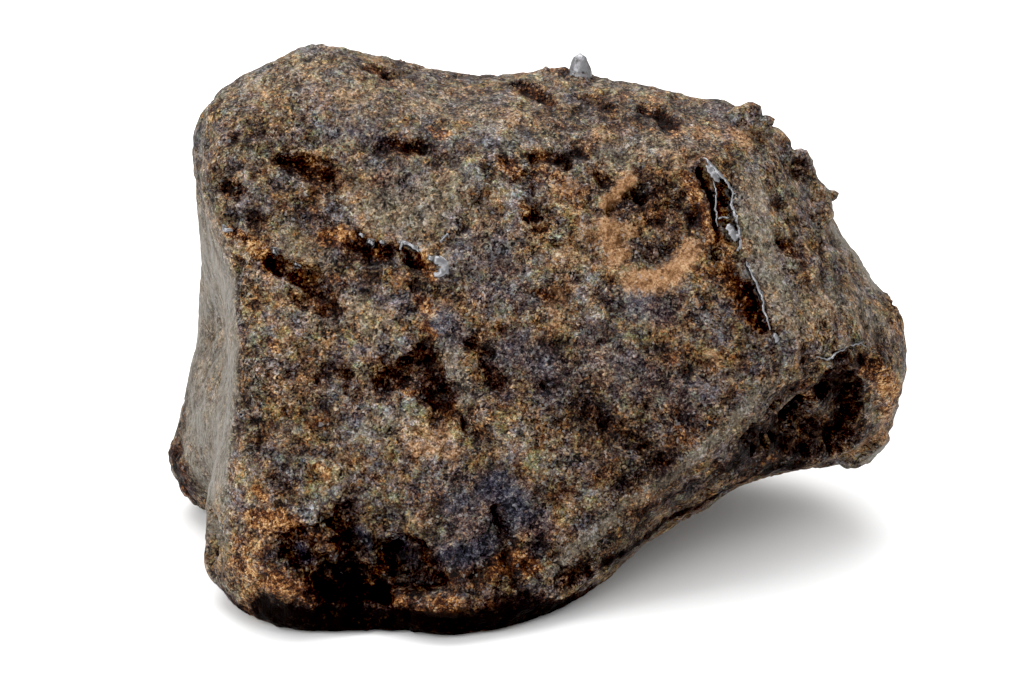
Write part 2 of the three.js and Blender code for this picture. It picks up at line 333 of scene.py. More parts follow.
# Patches of red and orange rust: width, strength, path
rusts = [
    # toe
    (3.4, 0.85, (254, 520), (276, 518), (294, 526)),
    (5, 0.75, (236, 560), (256, 574)),
    (4.2, 0.85, (270, 576), (296, 590), (316, 600)),
    (4, 0.6, (240, 540), (262, 546)),
    (3.2, 0.8, (400, 600), (424, 608), (452, 604)),
    (3.4, 0.95, (500, 566), (516, 560), (530, 568)),
    (3, 0.6, (460, 580), (490, 576)),
    (1.6, 0.9, (376, 574), (384, 560), (392, 566)),
    (2.6, 0.7, (316, 536), (334, 544)),
    (1.6, 0.9, (422, 552), (428, 562)),
    (3.6, 0.5, (410, 488), (428, 494)),
    # shelf and flakes
    (2.8, 0.9, (254, 246), (264, 254), (272, 262)),
    (2.6, 0.95, (326, 238), (340, 234), (352, 240)),
    (1.6, 1, (374, 246), (380, 258)),
    (1.6, 1, (418, 256), (426, 268), (434, 276)),
    (1.4, 0.8, (300, 266), (304, 276)),
    (2, 0.6, (334, 280), (344, 284)),
    (1.8, 0.7, (314, 300), (326, 308)),
    # crown and upper middle
    (2.2, 0.8, (434, 130), (446, 133)),
    (2.4, 0.9, (504, 164), (514, 172)),
    (1.8, 0.9, (530, 88), (548, 100)),
    (2.4, 0.85, (650, 108), (662, 114), (672, 124)),
    (1.8, 0.6, (372, 66), (382, 70)),
    (2.6, 0.7, (298, 160), (312, 168), (324, 174)),
    (2.2, 0.55, (390, 146), (416, 144)),
    (1.8, 0.9, (554, 70), (568, 68)),
    (3, 0.6, (540, 172), (556, 178)),
    (3, 0.5, (560, 200), (580, 190)),
    (1.8, 0.7, (522, 206), (530, 212)),
    (1.6, 0.6, (604, 108), (616, 116)),
    # cleft
    (2.4, 0.85, (688, 176), (696, 196), (704, 218), (712, 238)),
    (2, 1, (723, 186), (724, 212)),
    (2.4, 0.7, (722, 240), (728, 250)),
    (3.4, 1, (724, 270), (738, 290), (752, 312)),
    # overhanging end
    (3.6, 0.95, (866, 366), (882, 376), (888, 392)),
    (2.8, 0.7, (884, 404), (890, 416)),
    (2, 0.9, (764, 460), (774, 458)),
    (3, 0.6, (800, 386), (812, 394)),
    # specks all over
    (2.6, 0.6, (680, 430), (692, 440)),
    (2.2, 0.5, (668, 410), (676, 418)),
    (2.2, 0.8, (760, 106), (770, 118)),
    (2.2, 0.8, (418, 300), (430, 308)),
    (2, 0.7, (422, 324), (432, 336)),
    (1.4, 0.8, (272, 342), (276, 350)),
    (2.2, 0.8, (436, 404), (448, 410)),
    (2.2, 0.7, (398, 384), (410, 392)),
    (1.6, 0.8, (784, 244), (792, 248)),
    (0.9, 1, (799, 311), (801, 313)),
    (1.8, 0.8, (894, 324), (900, 332)),
    (1.4, 0.8, (318, 466), (326, 472)),
    (1.6, 0.9, (256, 490), (264, 498)),
    (1.5, 0.9, (228, 232), (244, 236)),
    (1.2, 0.9, (540, 292), (546, 298)),
    (2.2, 0.5, (632, 510), (660, 490)),
    (2.2, 0.5, (700, 476), (720, 464)),
    (2.2, 0.4, (216, 500), (222, 520)),
    (2.4, 0.5, (226, 186), (240, 188)),
    (2.6, 0.4, (306, 206), (316, 214)),
    # left knob
    (4, 0.75, (174, 450), (182, 470), (188, 494)),
]

# Patches of pale tan: width, strength, path
tans = [
    # the broken ring beside the cleft
    (1.9, 1, (630, 180), (618, 192), (606, 204)),
    (3.6, 1, (608, 226), (612, 240), (618, 252)),
    (2.4, 0.7, (616, 226), (632, 232)),
    (3.2, 1, (632, 280), (650, 282), (668, 278), (682, 264), (690, 250)),
    # fainter patches
    (2.2, 0.6, (556, 190), (572, 184)),
    (3, 0.5, (586, 232), (598, 246)),
    (3.2, 0.6, (734, 132), (746, 144)),
    (2.8, 0.45, (700, 130), (716, 134)),
    (3.4, 0.35, (660, 150), (680, 160)),
    (5, 0.3, (520, 118), (540, 112)),
    (5, 0.3, (600, 134), (612, 128)),
    (5, 0.3, (330, 84), (350, 96), (330, 110)),
    (4, 0.45, (420, 444), (440, 440), (452, 452)),
    (4, 0.45, (560, 300), (552, 320)),
    (4, 0.35, (560, 256), (572, 250)),
    (3.4, 0.4, (708, 356), (716, 364)),
    (2.6, 0.6, (884, 408), (880, 430)),
    (2.4, 0.5, (430, 604), (460, 604)),
    (4, 0.3, (264, 320), (280, 330), (300, 350)),
    (4, 0.3, (820, 300), (840, 330)),
]

# Smooth worn parts with a grey skin: width, strength, path
greys = [
    (3.6, 0.35, (204, 130), (202, 160), (204, 200)),
    # the smooth band along the ridge
    (2.3, 0.66, (556, 572), (580, 546), (610, 520), (640, 500), (690, 462), (730, 426), (768, 384)),
    (2.4, 0.35, (700, 458), (740, 432), (780, 392)),
    (2.8, 0.9, (874, 452), (886, 440)),
    # quiet patches
    (9, 0.35, (250, 80), (290, 68), (340, 76), (360, 100)),
    (8, 0.35, (430, 100), (480, 110), (520, 124)),
    (5, 0.3, (600, 80), (640, 92)),
    (5, 0.4, (610, 150), (650, 150), (680, 150)),
    (6, 0.6, (752, 190), (756, 230), (770, 270), (776, 300)),
    (7, 0.55, (380, 206), (420, 216), (450, 190)),
    (3.4, 0.5, (290, 236), (300, 248), (322, 254)),
    (5, 0.4, (322, 312), (352, 312), (380, 326)),
    (2.6, 0.5, (366, 436), (376, 424), (396, 420)),
    (2.8, 0.5, (448, 352), (456, 376), (466, 396)),
    (6, 0.4, (790, 320), (820, 300), (850, 300), (880, 320)),
    (3, 0.8, (832, 226), (856, 250), (880, 284)),
]

# Where the crust shows through the skin of the left face: width, strength, path
skinGaps = [
    (4.8, 1, (174, 446), (181, 468), (188, 494)),
    (4, 1, (206, 552), (214, 570)),
    (2.4, 0.5, (180, 396), (184, 420)),
]

# Slate blue patches, some of them painted sheen where light grazes the lower face and the toe ridges:
# width, strength, path
bluesAndSheen = [
    (4.6, 0.9, (494, 486), (508, 498), (522, 514)),
    (3.4, 0.9, (446, 556), (470, 554), (488, 544)),
    (4, 0.5, (456, 500), (474, 530)),
    (3, 0.5, (540, 520), (536, 548)),
    (1.4, 1, (298, 548), (306, 562)),
    (1.4, 0.9, (360, 530), (370, 546)),
    (2, 0.7, (398, 542), (410, 560)),
    (5, 0.5, (510, 352), (540, 360), (560, 374)),
    (4, 0.6, (436, 318), (450, 330)),
    (4.6, 0.6, (636, 300), (660, 310)),
    (6, 0.4, (600, 350), (640, 380), (690, 396)),
    (4, 0.4, (390, 180), (410, 176)),
    (4, 0.4, (340, 134), (370, 132)),
    (4, 0.5, (716, 110), (728, 116)),
    (8, 0.3, (480, 250), (510, 280)),
]

# Painted shade: the black band where the stone curves under to its foot, and the dark band under the
# ridge: width, strength, path
paintedShades = [
    (4.4, 1, (262, 613), (300, 620), (380, 625), (460, 625), (520, 616), (566, 606)),
    (2.2, 0.6, (222, 596), (240, 608), (266, 616)),
    (2.6, 0.6, (560, 607), (580, 600), (596, 590)),
    (2.4, 0.5, (470, 606), (500, 602), (540, 596)),
    (2.2, 0.62, (604, 564), (650, 534), (700, 506), (750, 478), (800, 464)),
    (3.4, 0.4, (720, 470), (750, 452), (780, 446)),
    (2.2, 0.42, (628, 518), (668, 500), (700, 480)),
]

# Thin raised rims and flakes of bare metal: thickness, height, lift, lean, path
rims = [
    # the upper rim of the cleft, with the plate and the inner line below it
    (0.5, 0.7, 0.3, 0, (702, 159), (708, 164), (715, 172), (722, 179), (728, 186), (733, 195)),
    (1.1, 0.6, 0.1, 0, (706, 166), (713, 174), (719, 182)),
    (0.5, 0.75, 0.3, 0, (733, 193), (731, 200), (731, 206), (734, 217), (737, 226), (739, 236),
     (740, 243), (737, 252)),
    (0.36, 0.8, -0.4, 0, (714, 180), (716, 192), (716, 204), (717, 215), (718, 226)),
    (0.36, 0.7, -0.3, 0, (718, 218), (724, 217), (731, 218)),
    (1.3, 0.6, 0.1, 0, (728, 224), (732, 232), (736, 241)),
    # the lower rim
    (0.4, 0.6, 0.3, 0, (746, 263), (751, 276), (756, 286), (761, 297), (763, 310), (767, 322),
     (770, 330)),
    (0.8, 0.8, 0.1, 0.1, (773, 333), (777, 343)),
    # over the hollow of the end
    (0.28, 0.7, 0.1, 0.1, (816, 356), (825, 359), (836, 352), (847, 346), (858, 342), (865, 346)),
    # flakes on the broad face
    (0.5, 0.7, 0.1, 0, (359, 233), (364, 237)),
    (0.9, 2.6, -0.6, 0, (367, 241), (374, 245)),
    (0.5, 0.6, 0.1, 0, (379, 241), (385, 244)),
    (0.6, 0.9, 0.1, 0.2, (400, 250), (402, 242), (410, 245), (419, 252)),
    (1.2, 0.8, 0.15, 0, (428, 258), (436, 260), (443, 262), (446, 270), (440, 274), (434, 276)),
    (0.35, 0.5, 0.05, 0, (440, 242), (444, 238), (448, 234)),
    (0.6, 0.7, 0.1, 0, (221, 226), (227, 229), (233, 231)),
    (0.6, 2.4, -0.6, 0, (272, 248), (277, 256)),
    (0.5, 2.4, -0.7, 0, (294, 263), (302, 267)),
]

# Knobs, each from the pixel of its foot to the pixel of its tip
knobs = [
    {"foot": (580, 75), "tip": (580, 53), "wide": 3.3, "flat": 0.7, "metal": 0.62},
    {"foot": (546, 74), "tip": (546, 66), "wide": 1.6, "flat": 0.8, "metal": 0.0},
    {"foot": (742, 120), "tip": (761, 106), "wide": 4.2, "flat": 0.8, "metal": 0.0},
    {"foot": (756, 126), "tip": (775, 119), "wide": 2.4, "flat": 0.8, "metal": 0.3},
    {"foot": (822, 198), "tip": (839, 193), "wide": 2.2, "flat": 0.8, "metal": 0.0},
]


# Core: the frame's solid, softened and with even faces

coreSetup = {
    "weld": 0.001,
    "voxel": 0.58,
    "softenPasses": 6,
    "softenShare": 0.5,
}


def evaluatedMesh(piece):
    graph = bpy.context.evaluated_depsgraph_get()
    return bpy.data.meshes.new_from_object(piece.evaluated_get(graph))


def makeCore():
    bm = bmesh.new()
    bm.from_mesh(stoneNode.data)
    bmesh.ops.remove_doubles(bm, verts=bm.verts, dist=coreSetup["weld"] * mm)
    core = addObject("core", meshFrom(bm, "core"))
    core.modifiers.new("round", "SUBSURF").levels = 1
    remesh = core.modifiers.new("even", "REMESH")
    remesh.mode = "VOXEL"
    remesh.voxel_size = coreSetup["voxel"] * mm
    soften = core.modifiers.new("soften", "SMOOTH")
    soften.iterations = coreSetup["softenPasses"]
    soften.factor = coreSetup["softenShare"]
    even = evaluatedMesh(core)
    bpy.data.objects.remove(core)
    return even


def meshArrays(mesh):
    places = np.empty(len(mesh.vertices) * 3)
    mesh.vertices.foreach_get("co", places)
    directions = np.empty(len(mesh.vertices) * 3)
    mesh.vertices.foreach_get("normal", directions)
    return places.reshape(-1, 3) / mm, directions.reshape(-1, 3)


def storePlaces(mesh, places):
    mesh.vertices.foreach_set("co", (places * mm).ravel())
    mesh.update()


stoneMesh = makeCore()
corePlaces, coreDirections = meshArrays(stoneMesh)
coreFaces = [tuple(face.vertices) for face in stoneMesh.polygons]
coreTree = BVHTree.FromPolygons([Vector(spot) for spot in corePlaces], coreFaces)
print("core made,", len(corePlaces), "points")


# Casting pixels onto the stone

castSetup = {
    "middle": (500, 340),  # a pixel that misses steps towards this one
    "step": 0.012,         # share of the way that one step covers
    "steps": 12,
}


# Where a pixel lands on the stone, and the direction that the surface faces there
def castPixel(px, py):
    middleX, middleY = castSetup["middle"]
    for step in range(castSetup["steps"]):
        share = castSetup["step"] * step
        direction = pixelDirection(px + (middleX - px) * share, py + (middleY - py) * share)
        hit, normal = coreTree.ray_cast(cameraPlace, direction)[:2]
        if hit is not None:
            return hit, normal
    raise ValueError(f"pixel {px}, {py} misses the stone")


def castPath(path):
    return np.array([castPixel(*pixel)[0] for pixel in path])


# Smooth random values for every point of the core, from about -1 to 1, with lumps of the given size
def randomField(size, seed):
    draw = np.random.default_rng(seed)
    slots = draw.permutation(256)
    arrows = draw.normal(size=(256, 3))
    arrows /= np.linalg.norm(arrows, axis=1)[:, None]
    scaled = corePlaces / size + 128.0 + draw.uniform(size=3)  # 128 keeps the cells above zero
    low = np.floor(scaled).astype(int)
    part = scaled - low
    ease = part ** 3 * (part * (part * 6 - 15) + 10)
    total = np.zeros(len(corePlaces))
    for dx in (0, 1):
        for dy in (0, 1):
            for dz in (0, 1):
                slot = slots[(low[:, 0] + dx) & 255]
                slot = slots[(slot + low[:, 1] + dy) & 255]
                slot = slots[(slot + low[:, 2] + dz) & 255]
                pull = (arrows[slot] * (part - (dx, dy, dz))).sum(axis=1)
                weight = ease[:, 0] if dx else 1 - ease[:, 0]
                weight = weight * (ease[:, 1] if dy else 1 - ease[:, 1])
                weight = weight * (ease[:, 2] if dz else 1 - ease[:, 2])
                total += weight * pull
    return total * 1.7  # brings the usual values to about -1 to 1


# 0 at low, 1 at high and smooth between them. high may be the smaller number.
def smoothStep(low, high, values):
    t = np.clip((values - low) / (high - low), 0, 1)
    return t * t * (3 - 2 * t)


def nearPath(path, reach):
    low = path.min(axis=0) - reach
    high = path.max(axis=0) + reach
    return np.where(((corePlaces > low) & (corePlaces < high)).all(axis=1))[0]


# Distance from the given points to a path of straight legs, and the side they lie on seen from outside
def pathDistance(points, path):
    places = corePlaces[points]
    directions = coreDirections[points]
    best = np.full(len(places), np.inf)
    side = np.zeros(len(places))
    for start, end in zip(path, path[1:]):
        along = end - start
        share = np.clip((places - start) @ along / (along @ along + 1e-9), 0, 1)
        offset = places - start - share[:, None] * along
        reach = np.linalg.norm(offset, axis=1)
        closer = reach < best
        turned = np.sign((np.cross(directions, along) * offset).sum(axis=1))
        side[closer] = turned[closer]
        best[closer] = reach[closer]
    return best, side


# Strokes and fields that both the shape and the paint follow

strokeSetup = {
    "ragged": 0.55,          # how far noise pushes the edge of a stroke, as a share of its half width
    "shape": (1.2, 0.35),    # where a stroke that shapes ends and where it is full, in half widths
    "paint": (1.75, 0.25),   # paint fades out further
    "paintRagged": 0.6,
    "margin": 0.7,           # how far past its end a ragged stroke may reach
    "hollowPaint": 1.15,     # the dark paint of a hollow is this much wider than the hollow
}

ragged = 0.6 * randomField(2.4, 1) + 0.55 * randomField(1.1, 2)
ragged = ragged * strokeSetup["ragged"]


# 1 along the path, falling to 0 at about half its width, with a ragged edge
def stroke(path, across, edge, span):
    outer, inner = span
    line = castPath(path)
    half = across / 2
    near = nearPath(line, half * (outer + strokeSetup["margin"]))
    reach = pathDistance(near, line)[0]
    value = np.zeros(len(corePlaces))
    value[near] = smoothStep(outer, inner, reach / half + edge[near])
    return value


def shapeStroke(path, across, raggedShare=1.0):
    return stroke(path, across, ragged * raggedShare, strokeSetup["shape"])


def paintStroke(path, across):
    return stroke(path, across, ragged * strokeSetup["paintRagged"], strokeSetup["paint"])


def strongest(features):
    value = np.zeros(len(corePlaces))
    for across, strong, *path in features:
        value = np.maximum(value, paintStroke(path, across) * strong)
    return value


# The side that the photograph doesn't show gets the same kinds of marks, placed by noise
hiddenSetup = {
    "facing": (0.93, -0.37),     # how the surface turns from the camera, along Y and Z
    "behind": (0.012, 8),        # how much a point counts for lying behind this Y
    "edge": (-0.2, 0.35),
    "skin": 0.5,
    "skinSize": 15.0,
    "hollowDeep": 1.3,
    # the hidden hollows are painted dark too: partly dark crust, partly painted shade
    "hollowDark": 0.95,
    "hollowEdge": (0.22, 0.5),
    "hollowSize": 8.0,
    "hollowFine": 3.2,
    "tone": 0.08,
    "toneSize": 12.0,
}

# size, where a patch starts, where it is full, strength, seed
hiddenPatches = {
    "rust": (5.0, 0.42, 0.75, 0.9, 21),
    "tan": (6.0, 0.5, 0.8, 0.8, 23),
    "blue": (9.0, 0.3, 0.7, 0.7, 27),
}


# 1 on the hidden side, 0 on the side that the photograph shows
def hiddenSide():
    alongY, alongZ = hiddenSetup["facing"]
    weight, start = hiddenSetup["behind"]
    away = coreDirections[:, 1] * alongY + coreDirections[:, 2] * alongZ
    return smoothStep(*hiddenSetup["edge"], away + weight * (corePlaces[:, 1] - start))


hidden = hiddenSide()

skinSetup = {
    "strong": 0.78,
    "patchy": 0.22,
    "underside": 0.8,          # how much the underside counts as facing left
    "facing": (0.58, 0.92),    # how squarely the surface faces left where the skin starts and is full
    "foot": (3.5, 7),          # heights between which it starts
    "shoulder": (58, 42),      # heights between which it ends
    "wander": 3,               # how far those heights wander
    "back": (4, 22),           # Y between which it fades towards the back
    "backWander": 8,
    "backFade": 0.7,
}


# The narrow left face is worn to a skin from its foot to its shoulder, and less so towards the back. Its
# pale colour is partly painted sheen, where light grazes that face.
def leftSkinAndSheen():
    wander = randomField(5.0, 41)
    frayed = 0.10 * randomField(2.5, 42) + 0.10 * randomField(1.0, 43)
    sideways = -coreDirections[:, 0] + skinSetup["underside"] * np.maximum(-coreDirections[:, 2], 0)
    height = corePlaces[:, 2] + skinSetup["wander"] * wander
    back = corePlaces[:, 1] + skinSetup["backWander"] * wander
    skin = smoothStep(*skinSetup["facing"], sideways + frayed)
    skin = skin * smoothStep(*skinSetup["foot"], height) * smoothStep(*skinSetup["shoulder"], height)
    skin = skin * (1 - skinSetup["backFade"] * smoothStep(*skinSetup["back"], back))
    worn = skinSetup["strong"] + skinSetup["patchy"] * randomField(3.5, 44)
    return skin * (1 - strongest(skinGaps)) * worn


smooth = np.maximum(strongest(greys), leftSkinAndSheen())
hiddenSkin = hidden * smoothStep(0.0, 0.6, randomField(hiddenSetup["skinSize"], 25))
smooth = np.maximum(smooth, hiddenSkin * hiddenSetup["skin"])
hiddenLumps = randomField(hiddenSetup["hollowSize"], 3) + 0.35 * randomField(hiddenSetup["hollowFine"], 4)
hiddenHollows = hidden * smoothStep(*hiddenSetup["hollowEdge"], hiddenLumps)
print("fields made")


# Shape

shapeSetup = {
    "lumpHigh": 0.5,
    "lumpSize": 7.0,
    "knuckleHigh": 0.36,
    "knuckleSize": 3.0,
    "pitDeep": 0.45,
    "pitSize": 1.8,
    "grainHigh": 0.16,
    "grainSize": 0.9,
    "patchSize": 11.0,     # size of the rougher and calmer patches
    "skinLumps": 0.6,      # how much of the lumps a smooth skin takes away
    "skinGrain": 0.8,      # how much of the grain
    "hollowGrain": 0.35,   # how much rougher a hollow is
    "deepest": 2.6,
    "swellRagged": 0.5,
    "footKeep": 1.2,       # height over which the surface blends into the flat foot
}

ledgeSetup = {
    "ragged": 0.35,
    "endFade": 2.2,            # length over which a ledge fades out at its ends
    "darkFrom": (0.3, 0.95),   # share of the depth where the low side darkens, and is fully dark
}


# How far the ledges push the surface, and the painted shade that darkens their low side
def ledgeFields():
    push = np.zeros(len(corePlaces))
    shadeBelow = np.zeros(len(corePlaces))
    for lowWide, deep, highWide, rise, darkness, *path in ledges:
        line = castPath(path)
        near = nearPath(line, highWide)
        reach, side = pathDistance(near, line)
        reach = reach + ledgeSetup["ragged"] * ragged[near]
        ends = np.minimum(np.linalg.norm(corePlaces[near] - line[0], axis=1),
                          np.linalg.norm(corePlaces[near] - line[-1], axis=1))
        fade = smoothStep(0, ledgeSetup["endFade"], ends)
        low = (side > 0) * np.clip(1 - reach / lowWide, 0, 1)
        high = (side <= 0) * np.clip(1 - reach / highWide, 0, 1) ** 2
        push[near] += (rise * high - deep * low) * fade
        # the low side of the step is darkened: painted shade
        dark = smoothStep(*ledgeSetup["darkFrom"], low * fade) * darkness
        shadeBelow[near] = np.maximum(shadeBelow[near], dark)
    return push, shadeBelow


def moveOut(mesh, places, directions, rise):
    atFoot = smoothStep(0, shapeSetup["footKeep"], corePlaces[:, 2])
    moved = places + directions * (rise * atFoot)[:, None]
    moved[:, 2] = np.maximum(moved[:, 2], 0)
    storePlaces(mesh, moved)
    return meshArrays(mesh)


# Broad forms first, then the fine relief along the new surface
def shapeStone(mesh):
    ledgePush, shadeBelow = ledgeFields()
    depth = np.zeros(len(corePlaces))
    for across, deep, darkness, *path in hollows:
        depth += deep * shapeStroke(path, across)
    rise = ledgePush - np.minimum(depth, shapeSetup["deepest"]) - hiddenSetup["hollowDeep"] * hiddenHollows
    for across, high, *path in swells:
        rise += high * shapeStroke(path, across, shapeSetup["swellRagged"])
    lumps = shapeSetup["lumpHigh"] * randomField(shapeSetup["lumpSize"], 5)
    rise += lumps * (1 - shapeSetup["skinLumps"] * smooth)
    moved, directions = moveOut(mesh, corePlaces, coreDirections, rise)

    patchy = 0.6 + 0.5 * smoothStep(-0.2, 0.5, randomField(shapeSetup["patchSize"], 6))
    rough = (1 - shapeSetup["skinGrain"] * smooth) * patchy
    rough += shapeSetup["hollowGrain"] * np.clip(depth, 0, 1)
    knuckles = 0.45 - 2 * np.abs(randomField(shapeSetup["knuckleSize"], 7))
    pits = smoothStep(0.10, 0.5, randomField(shapeSetup["pitSize"], 8))
    grain = randomField(shapeSetup["grainSize"], 9)
    relief = shapeSetup["knuckleHigh"] * knuckles - shapeSetup["pitDeep"] * pits
    relief = (relief + shapeSetup["grainHigh"] * grain) * rough
    shaped = moveOut(mesh, moved, directions, relief)[0]
    return shaped, shadeBelow, relief


shapedPlaces, shadeBelow, relief = shapeStone(stoneMesh)
print("stone shaped")


# Masks that steer the material, one value for each point of the stone

maskSetup = {
    # painted shade counts double, so that it prints black
    "shade": 2.0,           # shades are blacker than hollows
    "relief": 0.34,         # how much lighter high grain is
    "reliefMost": (-0.6, 0.4),
    "fineSize": 0.38,       # the fine part of a patch's edge, as a share of its size
    "fineShare": 0.4,
}


def hiddenPatch(name):
    size, start, full, strong, seed = hiddenPatches[name]
    fine = randomField(size * maskSetup["fineSize"], seed + 50)
    edge = randomField(size, seed) + maskSetup["fineShare"] * fine
    return hidden * strong * smoothStep(start, full, edge)


def makeMasks():
    # darkness from ledges, hollows and the black band: painted shade, partly dark crust
    dark = np.maximum(shadeBelow, hiddenHollows * hiddenSetup["hollowDark"])
    for across, deep, darkness, *path in hollows:
        dark = np.maximum(dark, darkness * paintStroke(path, across * strokeSetup["hollowPaint"]))
    dark = np.maximum(dark, maskSetup["shade"] * strongest(paintedShades))
    tone = np.zeros(len(corePlaces))
    for across, change, *path in tonesAndPaintedLight:
        tone += change * paintStroke(path, across)
    tone += hidden * hiddenSetup["tone"] * randomField(hiddenSetup["toneSize"], 31)
    tone += np.clip(relief, *maskSetup["reliefMost"]) * maskSetup["relief"]
    return {
        "dark": dark,
        "tone": tone,
        "rust": np.maximum(strongest(rusts), hiddenPatch("rust")),
        "tan": np.maximum(strongest(tans), hiddenPatch("tan")),
        "grey": smooth,
        "blue": np.maximum(strongest(bluesAndSheen), hiddenPatch("blue")),
        "metal": np.zeros(len(corePlaces)),
    }


masks = makeMasks()
print("masks made")


# Rims, flakes and knobs, as closed bodies whose roots are buried in the stone

rimSetup = {
    "step": 0.2,
    "sides": 8,
    "wobble": 0.35,
    "stray": 0.25,      # how far noise lifts the rim
    "sway": 0.2,        # how far noise moves it sideways
    "metal": 1.0,
}

knobSetup = {
    "rows": 9,
    "sides": 12,
    "buried": 1.4,
    "roundness": 2.6,
    "tipWide": 0.02,
    "wobble": 0.2,
}


def evenPath(path, step):
    legs = np.linalg.norm(path[1:] - path[:-1], axis=1)
    total = legs.sum()
    count = max(4, int(total / step))
    marks = np.concatenate([[0], np.cumsum(legs)])
    stations = np.linspace(0, total, count + 1)
    even = np.stack([np.interp(stations, marks, path[:, axis]) for axis in range(3)], axis=1)
    for _ in range(3):
        even[1:-1] = 0.5 * even[1:-1] + 0.25 * (even[:-2] + even[2:])
    return even


def closeTube(bm, rings):
    around = len(rings[0])
    for near, far in zip(rings, rings[1:]):
        for k in range(around):
            after = (k + 1) % around
            bm.faces.new((near[k], near[after], far[after], far[k]))
    bm.faces.new(list(reversed(rings[0])))
    bm.faces.new(rings[-1])


def addRim(bm, rim, seed):
    thick, tall, lift, lean, *path = rim
    spots = [castPixel(*pixel) for pixel in path]
    line = evenPath(np.array([hit for hit, normal in spots]), rimSetup["step"])
    outward = Vector(np.mean([np.array(normal) for hit, normal in spots], axis=0)).normalized()
    rings = []
    for i, spot in enumerate(line):
        ahead = Vector(line[min(i + 1, len(line) - 1)] - line[max(i - 1, 0)]).normalized()
        side = ahead.cross(outward).normalized()
        upward = (outward + side * lean).normalized()
        flat = ahead.cross(upward).normalized()
        share = i / (len(line) - 1)
        taper = max(0.2, min(1, 5 * share, 5 * (1 - share)))  # over a fifth of the length at each end
        jitter = noise.noise(Vector(spot) * 0.9 + Vector((seed, 0, 0)))
        fine = noise.noise(Vector(spot) * 2.3 + Vector((0, seed, 0)))
        sway = side * rimSetup["sway"] * fine
        middle = Vector(spot) + outward * (lift + rimSetup["stray"] * jitter) + sway
        high = tall * taper * (1 + rimSetup["wobble"] * (jitter + fine))
        wide = thick * (0.4 + 0.6 * taper) * (1 + rimSetup["wobble"] * fine)
        ring = []
        for k in range(rimSetup["sides"]):
            turn = 2 * math.pi * k / rimSetup["sides"]
            place = middle + upward * (math.cos(turn) * high / 2) + flat * (math.sin(turn) * wide / 2)
            ring.append(bm.verts.new(place * mm))
        rings.append(ring)
    closeTube(bm, rings)


def addKnob(bm, knob, seed):
    foot = castPixel(*knob["foot"])[0]
    perPixel = (foot - cameraPlace).length / pixelsPerUnit
    across = knob["tip"][0] - knob["foot"][0]
    down = knob["tip"][1] - knob["foot"][1]
    reach = (cameraRight * across - cameraUp * down) * perPixel
    axis = reach.normalized()
    sideways = axis.cross(cameraBack).normalized()
    deep = axis.cross(sideways).normalized()
    buried = knobSetup["buried"]
    rings = []
    for row in range(knobSetup["rows"]):
        share = row / (knobSetup["rows"] - 1)
        height = -buried + (reach.length + buried) * share
        fullness = math.sqrt(max(0.0, 1 - share ** knobSetup["roundness"]))
        girth = knob["wide"] / 2 * fullness + knobSetup["tipWide"]
        ring = []
        for k in range(knobSetup["sides"]):
            turn = 2 * math.pi * k / knobSetup["sides"]
            out = sideways * math.cos(turn) + deep * (math.sin(turn) * knob["flat"])
            spot = foot + axis * height + out * girth
            wobble = 1 + knobSetup["wobble"] * noise.noise(spot * 0.9 + Vector((seed, 0, 0)))
            ring.append(bm.verts.new((foot + axis * height + out * girth * wobble) * mm))
        rings.append(ring)
    closeTube(bm, rings)


def joinOn(piece, bm):
    bmesh.ops.recalc_face_normals(bm, faces=bm.faces)
    addition = addObject("addition", meshFrom(bm, "addition"))
    union = piece.modifiers.new("join", "BOOLEAN")
    union.operation = "UNION"
    union.solver = "MANIFOLD"
    union.object = addition
    joined = evaluatedMesh(piece)
    piece.modifiers.remove(union)
    piece.data = joined
    bpy.data.objects.remove(addition)


stone = addObject("meteorite_stone", stoneMesh)

addedPlaces = []
addedMetal = []
batches = 5           # neighbours fall in different batches, so bodies of one batch don't touch
additions = [(addRim, rim, rimSetup["metal"]) for rim in rims]
additions += [(addKnob, knob, knob["metal"]) for knob in knobs]
for first in range(batches):
    bm = bmesh.new()
    for number in range(first, len(additions), batches):
        build, feature, metal = additions[number]
        already = len(bm.verts)
        build(bm, feature, number)
        bm.verts.ensure_lookup_table()
        for vert in bm.verts[already:]:
            addedPlaces.append(vert.co / mm)
            addedMetal.append(metal)
    joinOn(stone, bm)
stone.data.name = "meteorite_stone"
print("rims joined,", len(stone.data.vertices), "points")


# Each point of the joined mesh takes the masks of the nearest point that it came from
def carryMasks(mesh):
    sources = [Vector(spot) for spot in shapedPlaces] + addedPlaces
    tree = kdtree.KDTree(len(sources))
    for number, spot in enumerate(sources):
        tree.insert(spot, number)
    tree.balance()
    nearest = np.array([tree.find(spot)[1] for spot in meshArrays(mesh)[0]])
    for name, values in masks.items():
        extra = np.array(addedMetal) if name == "metal" else np.zeros(len(addedMetal))
        carried = np.concatenate([values, extra])[nearest]
        layer = mesh.attributes.new(name, "FLOAT", "POINT")
        layer.data.foreach_set("value", np.clip(carried, -1, 2).astype(np.float32))


carryMasks(stone.data)
print("masks painted")


# Crust material

